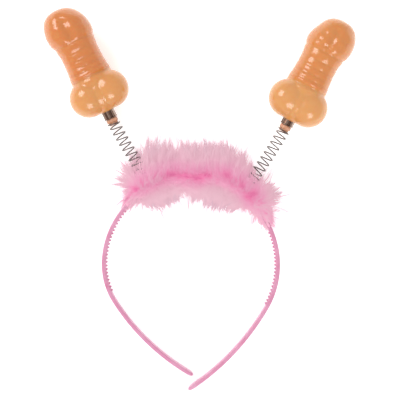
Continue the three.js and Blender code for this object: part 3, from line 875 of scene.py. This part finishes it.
def push_details(points, side, phase):
    """Push the wrinkles and the lean into a bobble's points, given in mm from its foot."""
    across, along, front = points.T
    turn = np.arctan2(across, front)
    reach = np.hypot(across, front)
    sideways = np.stack([across / reach, np.zeros_like(along), front / reach], axis=1)
    # the swellings are full in front and fade round the sides
    facing = BACK_SHARE + (1 - BACK_SHARE) * np.clip(np.cos(turn * 0.8), 0, 1) ** 2
    # no crease is quite straight: each wanders by its own share of two waves round the stem, in mm
    sway = 0.5 * np.sin(turn * 2 + phase) + 0.25 * np.sin(turn * 5 + phase * 2)
    push = np.zeros_like(along)
    for number, (low, high) in enumerate(zip(CREASES, CREASES[1:])):
        bend = sway * math.cos(number * 1.7 + phase)
        share = (along - low - bend) / (high - low)
        push += SWELL[side] * facing * np.clip(4 * share * (1 - share), 0, 1)
    push -= RIM_CREASE["deep"] * bell(along, RIM_CREASE["along"], RIM_CREASE["half"])
    push -= VALLEY_DEEP * within(along, *VALLEY_SPAN) * bell(across, 0, VALLEY_HALF) * (front > 0)
    in_front = np.clip(np.cos(turn), 0, 1)
    step, shift, deep = HOLLOWS[side]
    wave = np.sin((along + shift + HOLLOW_SLANT * across) * 2 * math.pi / step)
    push += deep * within(along, *CAP_SPAN) * in_front * wave
    push -= FLAT_FRONT[side] * within(along, *STEM_SPAN) * (front > 0) * bell(across, 0, FLAT_HALF)
    push -= FOOT_CREASE["deep"] * bell(along, FOOT_CREASE["along"], FOOT_CREASE["half"]) * in_front
    push -= FLATTER[side] * bell(along, *SHOULDER) * np.clip(-across / reach, 0, 1)
    moved = points + sideways * push[:, None]
    lean = np.clip((along - CAP_LEAN_FROM) / (BOBBLE_LONG - CAP_LEAN_FROM), 0, 1) ** 1.5
    moved[:, 0] += CAP_LEAN * lean * (1 if side == "right" else -1)
    moved[:, 1] -= SEATED[side]
    return moved


print("creases on a stem:", len(CREASES))

# %% [markdown]
# Finished bobbles.
# Each bobble is grown, wrinkled and given a short socket for its ferrule with a Boolean. Every point then
# keeps how deep the orange is there, which the vinyl's colour ramp reads: the lobes are pale and the
# stem's foot is deepest.

# %% Socket, tone and seat the bobbles
SOCKET_RADIUS = 4.95 * MM
SOCKET_DEEP = 5.0 * MM
# where each casting's creases wander to
PHASE = {"left": 0.4, "right": 2.3}
# place along the axis in mm, and how deep the orange is
TONES = np.array([(0, 0.1), (20, 0.2), (26, 0.35), (29, 0.9), (45, 0.8), (60, 0.82), (76, 0.75)])
# the right bobble is coloured paler than the left
PALER = {"left": 0.0, "right": 0.24}
LEAST_TONE = 0.05

for side in SIDES:
    bobble = grow_form(side)
    write_points(bobble, push_details(read_points(bobble) / MM, side, PHASE[side]) * MM)
    socket = start(bpy.ops.mesh.primitive_cylinder_add, vertices=ROUND_SIDES, radius=SOCKET_RADIUS,
                   depth=SOCKET_DEEP * 2, location=(0, 0, 0), rotation=(math.pi / 2, 0, 0))
    finish_with(bobble, "BOOLEAN", operation="DIFFERENCE", solver="EXACT", object=socket)
    bpy.data.objects.remove(socket)
    tone = np.interp(read_points(bobble)[:, 1] / MM + SEATED[side], *TONES.T)
    keep(bobble, "tone", np.clip(tone - PALER[side], LEAST_TONE, 1))
    settle(bobble, side)
    use(bobble)
    bpy.ops.object.shade_smooth_by_angle(angle=math.radians(50))
    bobble.data.materials.clear()
    bobble.data.materials.append(flesh_vinyl)
    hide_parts("bopper_" + side)
    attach(bobble, side + "_bobble")
    print(bobble.name, count_triangles(bobble), "triangles")

# %% [markdown]
# Marabou down.
# Marabou is soft down dyed pink and wound on the band. The dye is strongest at the quill and fades with
# the distance from it. The barbs are so fine that they let light through; in its place the down glows
# with painted light in its own colour. Each point of the down carries how far the dye has faded there,
# and the colour and the glow follow that. The last colour is the dusty tint of the loose wisps.

# %% Dyed down
# Fine dyed down: quite matt, hot pink at the quill and dusty pale pink far from it. It glows with painted
# light in the dye's colour, which lifts the shadows in the down as light through the fine barbs would. The
# loose wisps at the edge look dusty.
down, shader = new_material("dyed_marabou_down", {
    "Roughness": 0.85, "Specular IOR Level": 0.1, "Emission Strength": 0.8})
fade = add_node(down, "ShaderNodeAttribute", attribute_name="fade")
dye = add_node(down, "ShaderNodeValToRGB", {"Fac": fade.outputs["Fac"]}, shader.inputs["Base Color"],
               [(0.0, "#bb5b88"), (0.12, "#c37395"), (0.35, "#c388a1"), (0.6, "#c198a6"), (0.85, "#bf9ca7"),
                (1.0, "#aa8c99")])
# the painted glow takes the colour of the dye
down.node_tree.links.new(dye.outputs[0], shader.inputs["Emission Color"])
print("made", down.name)

# %% [markdown]
# The trim's core.
# Under the down lies the quill, wound round the strip in lumps. A ring is spun along the crown to a
# sleeve, roughened with a Displace modifier, and given a wall. Little of it shows, but it keeps the paper
# from shining through the down.

# %% Spin the core
CORE_DEGREES = (-47, 64)
CORE_RADIUS = 4.4 * MM
CORE_ACROSS_SHARE = 1.3
CORE_WALL = 0.5 * MM
CORE_LUMPS = 1.6 * MM
CORE_STEPS = 90
# degrees round the crown and share of the core's thickness, which thins out to the strip at both ends
CORE_SLIM = [(-47, 0.4), (-43, 0.42), (-39, 0.5), (-34, 1.0), (40, 1.0), (47, 0.6), (52, 0.45), (60, 0.42),
             (64, 0.4)]
# how much of that slimming its height takes part in
SLIM_HEIGHT = 0.4
LUMP_SIZE = 4.5 * MM

crown_centre = next(arm_bends(1))[0]
first, last = [math.radians(degrees) for degrees in CORE_DEGREES]
middle = crown_centre + outward(first, 1) * CROWN_RADIUS
core = start(bpy.ops.mesh.primitive_circle_add, vertices=28, radius=CORE_RADIUS, location=middle,
             rotation=(math.pi / 2, 0, math.pi / 2 - first))
use(core, "EDIT")
bpy.ops.mesh.select_all(action="SELECT")
bpy.ops.transform.resize(value=(1, 1, CORE_ACROSS_SHARE), center_override=middle)
bpy.ops.mesh.spin(steps=CORE_STEPS, angle=last - first, center=crown_centre, axis=(0, 0, 1))
outside_out(core)
points = read_points(core) - np.array(crown_centre)
turned = np.degrees(np.arctan2(points[:, 0], points[:, 1]))
slim = np.interp(turned, *np.transpose(CORE_SLIM))
from_centre = np.hypot(points[:, 0], points[:, 1])
points[:, :2] *= ((CROWN_RADIUS + (from_centre - CROWN_RADIUS) * slim) / from_centre)[:, None]
points[:, 2] *= 1 - SLIM_HEIGHT + SLIM_HEIGHT * slim
write_points(core, points + np.array(crown_centre))
lumps = bpy.data.textures.new("quill_lumps", "CLOUDS")
lumps.noise_scale = LUMP_SIZE
finish_with(core, "DISPLACE", texture=lumps, texture_coords="LOCAL", strength=CORE_LUMPS, mid_level=0.5)
finish_with(core, "SOLIDIFY", thickness=CORE_WALL, offset=-1)
core.data.transform(band_place)
use(core)
bpy.ops.object.shade_smooth()
core.name = "marabou_core"
core.data.materials.append(down)
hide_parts("marabou_trim")
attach(core, "root")
print("core:", count_triangles(core), "triangles")

# %% [markdown]
# The barbs.
# A particle system could grow the down, but its hairs are not a mesh. So one barb is modelled, a
# three-sided spike with two more rings, and tens of thousands of copies are bent and laid by arrays: long
# barbs in locks that come to a point together, thin wisps past them, and short fuzz over the core.

# %% Model one barb
barb = start(bpy.ops.mesh.primitive_cone_add, vertices=3, radius1=1, radius2=0, depth=1,
             location=(0, 0, 0.5))
use(barb, "EDIT")
# each ring's place along the barb, and how much fuller than a plain cone it is
for height, fuller in ((0.35, 1.45), (0.7, 2.5)):
    bpy.ops.mesh.select_all(action="SELECT")
    bpy.ops.mesh.bisect(plane_co=(0, 0, height), plane_no=(0, 0, 1))
    bpy.ops.transform.resize(value=(fuller, fuller, 1), center_override=(0, 0, height))
bpy.ops.mesh.select_all(action="SELECT")
bpy.ops.mesh.quads_convert_to_tris()
bpy.ops.mesh.normals_make_consistent(inside=False)
bpy.ops.object.mode_set(mode="OBJECT")
BARB_POINTS = read_points(barb)
BARB_FACES = np.array([list(face.vertices) for face in barb.data.polygons])
bpy.data.objects.remove(barb)
print("barb:", len(BARB_POINTS), "points,", len(BARB_FACES), "triangles")

# %% [markdown]
# How far the down reaches.
# A feather trim is never even, so its outline is a short table: at some angles round the crown, how far
# the down stands out of the loop and into it. Every barb that is laid later reads its length from there.
# Where the barbs lean along the strip, smaller tables say by how much.

# %% Measure the down
# degrees round the crown, and the down's reach out of the loop and into it in mm
REACH = np.array([
    (-47.5, 2.4, 1.8), (-43, 4.5, 2.2), (-40.5, 14, 2.6), (-37.4, 21, 3.7), (-34.5, 22, 10),
    (-31, 21.5, 14.5), (-27, 22.5, 14.5), (-23, 26, 16.5), (-20, 31.5, 14), (-12, 26.5, 14), (-9, 25, 10),
    (-5.5, 24.5, 6), (-1.5, 24.3, 12), (3.4, 24.8, 15), (9, 26, 16.3), (16, 28, 16.5), (21, 24.5, 17.3),
    (27, 23.5, 17.3), (33, 21, 15.5), (39.5, 18, 11.5), (42, 19, 4.8), (44.7, 20, 4), (49, 19.5, 4),
    (51.5, 13, 3.4), (54, 7, 2.8), (58, 5, 2), (62.5, 3.4, 1.6)])
# the down on the outside stands more upright than straight out: degrees at its tips, and how much further
# round its roots are
UPRIGHT = np.array([(-43, 8), (-40, 7), (-36, 3), (-32, -3), (-28, -5), (-20, -9), (0, 0), (16, 6), (28, 5),
                    (45, 0), (67, 0)])
# towards the ends the down trails along the strip, inside and outside
TRAIL = np.array([(-47.5, 6), (-43, 4), (-38, 2), (-34, 0), (46, 0), (53, -5), (62.5, -7)])
# how far it stands up off the strip: a share of its reach to the sides, but at least so many mm
FRONT_SHARE = 0.8
FRONT_LEAST = 8.0
to_world = np.array(band_place)


def crown_frames(degrees):
    """Middle of the strip in mm, outward and front directions, at angles round the crown."""
    angle = np.radians(degrees)
    out = np.stack([np.sin(angle), np.cos(angle), np.zeros_like(angle)], axis=1)
    middle = np.array(crown_centre) / MM + out * CROWN_RADIUS / MM
    turn = to_world[:3, :3]
    front = np.broadcast_to(turn[:, 2], out.shape)
    return middle @ turn.T + to_world[:3, 3] / MM, out @ turn.T, front


def reach_at(degrees, around):
    """How far the down reaches at an angle round the crown, in a direction round the strip."""
    outer = np.interp(degrees, REACH[:, 0], REACH[:, 1])
    inner = np.interp(degrees, REACH[:, 0], REACH[:, 2])
    front = np.maximum(FRONT_SHARE * (outer + inner) / 2, FRONT_LEAST)
    side = np.where(np.cos(around) > 0, outer, inner)
    return 1 / np.hypot(np.cos(around) / side, np.sin(around) / front)


def unit(rows):
    """Rows scaled to length one."""
    return rows / np.linalg.norm(rows, axis=-1)[..., None]


print("the down reaches out by", REACH[:, 1].min(), "to", REACH[:, 1].max(), "mm")

# %% [markdown]
# The dye, and room for the springs.
# The quill is wound loosely, so its line wanders over the strip, and the dye fades with the distance from
# it. In a few places the down parts and the hot pink quill shows, and the dye took unevenly in small
# clumps. Where a spring stands out over the down, the down is pressed flat under it.

# %% Fade the dye and make room for the springs
# degrees round the crown, and how far out of the middle of the strip the quill lies, in mm
QUILL = np.array([(-43, 3), (-36, 4.3), (-12, 3.6), (-4, 1.3), (4, 0), (10, 2.6), (22, 5.6), (33, 4.4),
                  (41, 2.6), (67, 0)])
# height counts for less than distance to the side
HEIGHT_SHARE = 0.45
# distance from the quill in mm, and how far the dye has faded
FADES = np.array([(0, 0.23), (4, 0.27), (9, 0.41), (15, 0.7), (22, 1.0)])
# on the inside of the loop the dye fades faster
INSIDE_FASTER = 1.35
# where the down parts: degrees round the crown, mm out of the strip, half length and half width in mm, and
# how much deeper the dye looks there
PARTINGS = [(-36, 4.3, 2.8, 2.4), (-12, 3.6, 5.4, 2.2), (-4, 1.5, 4.4, 1.9), (4.4, -0.3, 4.2, 2.6),
            (9.5, 2.6, 3.4, 2.3), (22, 6, 3.6, 3.4), (32.5, 4.4, 2.0, 2.2), (39.6, 0.7, 2.6, 2.2),
            (41.3, 4.9, 2.6, 2.6)]
PARTING_DYE = 0.85
# degrees round the crown, and how much paler the thin ends are
PALER_ENDS = np.array([(-43, 0.26), (-37, 0.12), (-31, 0), (43, 0), (50, 0.16), (67, 0.26)])
# how far the dye fades before the dusty tint of the wisps begins
PALEST = 0.85
# along the quill the down clings in clumps: their size and how far from the quill they are, in mm, and
# how much more or less dye they took
CLUMP = 1.4
CLUMP_HALF = 6.0
CLUMP_DYE = 0.4
clumps = np.clip(np.random.default_rng(11).normal(size=(128, 128)), -1.2, 1.6)
# how far along a spring, in mm, the down over it ends and lies wholly under it
SPRING_BARED = (9.5, 14.5)
SPRING_SPACE = 5.0
# every sixteenth point of a spring's line is near enough to its neighbours
spring_lines = [spring_line(side)[::16] / MM for side in SIDES]
crown_middle = np.array(band_place @ crown_centre)[:2] / MM


def dye_fade(points):
    """How far the dye has faded at points in mm."""
    flat = points[..., :2] - crown_middle
    degrees = np.degrees(np.arctan2(flat[..., 0], flat[..., 1]))
    offset = np.hypot(flat[..., 0], flat[..., 1]) - CROWN_RADIUS / MM
    height = HEIGHT_SHARE * (points[..., 2] - STRIP_WIDE / MM)
    beside = offset - np.interp(degrees, *QUILL.T)
    beside = np.where(beside < 0, INSIDE_FASTER * beside, beside)
    fade = np.interp(np.hypot(beside, height), *FADES.T) + np.interp(degrees, *PALER_ENDS.T)
    cells = np.floor(points[..., :2] / CLUMP).astype(int) % len(clumps)
    fade *= 1 - CLUMP_DYE * bell(beside, 0, CLUMP_HALF) * clumps[cells[..., 0], cells[..., 1]]
    for place, out, half_long, half_wide in PARTINGS:
        along = np.radians(degrees - place) * CROWN_RADIUS / MM
        fade = fade * (1 - PARTING_DYE * bell(along, 0, half_long) * bell(offset, out, half_wide))
    return fade


def press_under_springs(points, deeper, later):
    """Press points in mm down under each spring, more and more along it, some barbs later than others."""
    for line in spring_lines:
        away = np.linalg.norm(points[..., None, :2] - line[:, :2], axis=-1)
        nearest = away.argmin(-1)
        from_foot = np.linalg.norm(line[nearest] - line[0], axis=-1) - later
        near = (away.min(-1) < SPRING_SPACE) & (from_foot > SPRING_BARED[0])
        room = np.interp(from_foot, SPRING_BARED, (SPRING_SPACE, -SPRING_SPACE))
        ceiling = line[nearest, 2] + room - deeper
        points[..., 2] = np.where(near, np.minimum(points[..., 2], ceiling), points[..., 2])
    return points


core_fade = np.clip(dye_fade(read_points(core) / MM), 0, PALEST)
keep(core, "fade", core_fade)
print("core fade from", core_fade.min().round(2), "to", core_fade.max().round(2))

# %% [markdown]
# Laying barbs.
# Tens of thousands of barbs are too many to place by hand. Arrays bend copies of the one model along a
# curve from root over knee to tip, press them down under the springs and join them in one mesh. Their
# normals are set to point away from the strip and up, as if the down were one soft form, because light
# that wanders through down doesn't show the facets of a barb.

# %% Lay barbs
rng = np.random.default_rng(7)
# how much the down's normals point up, in mm
UP_SHARE = 9.0
# barbs under a spring lie deeper by up to so many mm, and give way so many mm later along it
PRESSED_DEEPER = 3
PRESSED_LATER = 2.5
# the lowest barbs lie this high over the paper in mm, and up to so much higher
LEAST_HEIGHT = 0.25
UNEVEN_HEIGHT = 1.2
# how unevenly single barbs took the dye
UNEVEN_DYE = 0.03
# in mm from the middle of the strip: where barbs root, and by how much less or more
ROOT_RADIUS = 3.4
ROOT_SPREAD = (-0.8, 1.2)
# no root is further out than this share of the down's reach, and roots scatter by so many degrees
ROOT_MOST = 0.7
ROOT_DEGREES = 1.2


def down_normals(points):
    """Normals for points in mm: straight away from the strip and up, as if the down were one soft form."""
    flat = points[..., :2] - crown_middle
    far = np.hypot(flat[..., 0], flat[..., 1])
    across = (far - CROWN_RADIUS / MM) / far
    upwards = points[..., 2:] - STRIP_WIDE / MM / 2 + UP_SHARE
    return unit(np.concatenate([flat * across[..., None], upwards], axis=-1))


def lay_barbs(name, root, knee, tip, width, dusty=0):
    """Copies of the barb, each bent from its root over its knee to its tip, joined in one mesh."""
    count = len(root)
    t = BARB_POINTS[:, 2][None, :, None]
    path = (1 - t) ** 2 * root[:, None] + 2 * t * (1 - t) * knee[:, None] + t ** 2 * tip[:, None]
    side = unit(np.cross(tip - root, rng.normal(size=(count, 3))))
    lift = unit(np.cross(tip - root, side))
    ring = BARB_POINTS[None, :, 0:1] * side[:, None] + BARB_POINTS[None, :, 1:2] * lift[:, None]
    deeper = rng.uniform(0, PRESSED_DEEPER, count)[:, None]
    later = rng.exponential(PRESSED_LATER, count)[:, None]
    path = press_under_springs(path, deeper, later)
    lowest = LEAST_HEIGHT + rng.uniform(0, UNEVEN_HEIGHT, count)[:, None] + width
    path[:, :, 2] = np.maximum(path[:, :, 2], lowest)
    points = path + ring * width
    faces = BARB_FACES[None] + np.arange(count)[:, None, None] * len(BARB_POINTS)
    mesh = bpy.data.meshes.new(name)
    mesh.vertices.add(points.shape[0] * points.shape[1])
    mesh.vertices.foreach_set("co", (points * MM).astype(np.float32).ravel())
    mesh.loops.add(faces.size)
    mesh.loops.foreach_set("vertex_index", faces.astype(np.int32).ravel())
    mesh.polygons.add(faces.size // 3)
    mesh.polygons.foreach_set("loop_start", np.arange(0, faces.size, 3, dtype=np.int32))
    mesh.update(calc_edges=True)
    mesh.polygons.foreach_set("use_smooth", np.ones(faces.size // 3, dtype=bool))
    mesh.normals_split_custom_set_from_vertices(down_normals(points).reshape(-1, 3))
    mesh.materials.append(down)
    obj = bpy.data.objects.new(name, mesh)
    fade = np.clip(dye_fade(points) + rng.normal(0, UNEVEN_DYE, count)[:, None], 0, PALEST)
    # a wisp is dusty towards its tip
    keep(obj, "fade", fade + (1 - PALEST) * dusty * BARB_POINTS[:, 2] ** 3)
    bpy.context.collection.objects.link(obj)
    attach(obj, "root")
    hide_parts("marabou_trim")
    print(name, count, "barbs,", count_triangles(obj), "triangles")


def around_strip(degrees, around, distance):
    """Points at a distance from the middle of the strip, in directions round it."""
    middle, out, front = crown_frames(degrees)
    direction = np.cos(around)[:, None] * out + np.sin(around)[:, None] * front
    return middle + direction * distance[:, None]


def roots_of(tip_degrees, around):
    """Roots on the core for barbs whose tips are at these angles."""
    count = len(tip_degrees)
    upright = np.interp(tip_degrees, *UPRIGHT.T) * np.clip(np.cos(around), 0, 1)
    degrees = tip_degrees + upright + np.interp(tip_degrees, *TRAIL.T)
    degrees += rng.normal(0, ROOT_DEGREES, count)
    degrees = np.clip(degrees, REACH[0, 0] + 1, REACH[-1, 0] - 1)
    distance = ROOT_RADIUS + rng.uniform(*ROOT_SPREAD, count)
    return around_strip(degrees, around, np.minimum(distance, ROOT_MOST * reach_at(degrees, around)))


# %% [markdown]
# Locks.
# Down clings together, so the long barbs are laid in locks, each with its own place, length and lean. The
# locks of the body gather little and fill the form, the tufts come to a point, and a few thin wisps stand
# past the edge.

# %% Lay the locks
# the left end is thin: past an angle, this share of the locks grows so many degrees further up the crown
THIN_END = -36
THIN_SHARE = 0.6
THIN_MOVE = 60
# degrees round the crown where the down covers the foot of a spring, and how far round
SPRING_DEGREES = np.array([-28, 37])
COVER_HALF = 7
# how many of the locks are on the outside, and the degrees they stand at round the strip: outside,
# inside, and over a spring's foot with their spread
OUTER_SHARE = 0.56
OUTER_LEAN = 12
INNER_LEAN = 168
COVER_LEAN = (52, 12)
# how much wider a lock spreads round the strip than along the crown
ROUND_SPREAD = 3
# in parts of a barb's length: how it curls, and how its knee stands up
CURL = 0.08
KNEE_UP = np.array((0, 0, 0.10))


def lay_locks(name, locks, barbs, spread, width, rise, covering, splay, past, long_shares, own_least,
              gather_shares, dusty=0):
    """Long barbs in locks: each lock has its own place and length, and its barbs gather towards its tip."""
    lock_degrees = rng.uniform(REACH[0, 0], REACH[-1, 0], locks)
    lock_degrees += np.where((lock_degrees < THIN_END) & (rng.random(locks) < THIN_SHARE), THIN_MOVE, 0)
    outer = rng.random(locks) < OUTER_SHARE
    over_spring = np.abs(lock_degrees[:, None] - SPRING_DEGREES).min(1) < COVER_HALF
    over_spring &= rng.random(locks) < covering
    lean = np.where(over_spring, rng.normal(*COVER_LEAN, locks), rng.normal(OUTER_LEAN, rise, locks))
    lock_around = np.radians(np.where(outer, lean, rng.normal(INNER_LEAN, rise, locks)))
    lock_long = rng.uniform(*long_shares, locks)
    lock_reach = reach_at(lock_degrees, lock_around) * lock_long + rng.exponential(past, locks)
    lock_tip = around_strip(lock_degrees + rng.normal(0, splay, locks), lock_around, lock_reach)
    lock = np.repeat(np.arange(locks), barbs)
    count = len(lock)
    degrees = lock_degrees[lock] + rng.normal(0, spread, count)
    around = lock_around[lock] + np.radians(rng.normal(0, spread * ROUND_SPREAD, count))
    share = lock_long[lock] * rng.uniform(own_least, 1.0, count)
    own_tip = around_strip(degrees, around, reach_at(degrees, around) * share)
    gather = rng.uniform(*gather_shares, count)[:, None] * (share / lock_long[lock])[:, None] ** 2
    tip = own_tip * (1 - gather) + lock_tip[lock] * gather
    root = roots_of(degrees, around)
    long = np.linalg.norm(tip - root, axis=1)[:, None]
    knee = (root + tip) / 2 + rng.normal(0, CURL, (count, 3)) * long + KNEE_UP * long
    lay_barbs(name, root, knee, tip, width, dusty)


lay_locks("marabou_body", locks=260, barbs=48, spread=3.0, width=0.1, rise=28, covering=0.85, splay=0,
          past=0, long_shares=(0.94, 1.03), own_least=0.86, gather_shares=(0.0, 0.25))
lay_locks("marabou_tufts", locks=250, barbs=40, spread=1.2, width=0.09, rise=12, covering=0, splay=3.5,
          past=0.9, long_shares=(0.98, 1.17), own_least=0.75, gather_shares=(0.75, 0.98))
# A real wisp is finer than the picture can show, so these are drawn a few times as thick.
lay_locks("marabou_wisps", locks=420, barbs=3, spread=0.4, width=0.18, rise=14, covering=0, splay=5,
          past=2.4, long_shares=(1.0, 1.12), own_least=0.92, gather_shares=(0.85, 1.0), dusty=1)

# %% [markdown]
# Fuzz.
# Short barbs stand up near the quill, all round the strip but its underside. They hide the core and
# soften the roots of the locks.

# %% Lay the fuzz
FUZZ = 12400
FUZZ_WIDTH = 0.085
# degrees round the strip that it covers, and the mm that its tips stand out, up to a share of the reach
FUZZ_AROUND = (-50, 230)
FUZZ_LONG = (5, 14)
FUZZ_MOST = 0.95
# scatter of tips and knees along the crown in degrees, and of roots and knees round the strip in radians
TIP_SCATTER = 4
KNEE_SCATTER = 3
ROOT_TURN = 0.9
KNEE_TURN = 0.5
# how far its knees stand out in mm, up to a share of the reach
KNEE_RADIUS = (4.5, 9.0)
KNEE_MOST = 0.8

degrees = rng.uniform(REACH[0, 0] + 2, REACH[-1, 0] - 1, FUZZ)
around = np.radians(rng.uniform(*FUZZ_AROUND, FUZZ))
reach = reach_at(degrees, around)
share = np.clip(rng.uniform(*FUZZ_LONG, FUZZ) / reach, 0, FUZZ_MOST)
tip = around_strip(degrees + rng.normal(0, TIP_SCATTER, FUZZ), around, reach * share)
root = roots_of(degrees, around + rng.normal(0, ROOT_TURN, FUZZ))
long = np.linalg.norm(tip - root, axis=1)[:, None]
knee_degrees = degrees + rng.normal(0, KNEE_SCATTER, FUZZ)
knee_around = around + rng.normal(0, KNEE_TURN, FUZZ)
knee_far = np.minimum(rng.uniform(*KNEE_RADIUS, FUZZ), KNEE_MOST * reach)
knee = around_strip(knee_degrees, knee_around, knee_far) + rng.normal(0, CURL, (FUZZ, 3)) * long
lay_barbs("marabou_fuzz", root, knee, tip, FUZZ_WIDTH)
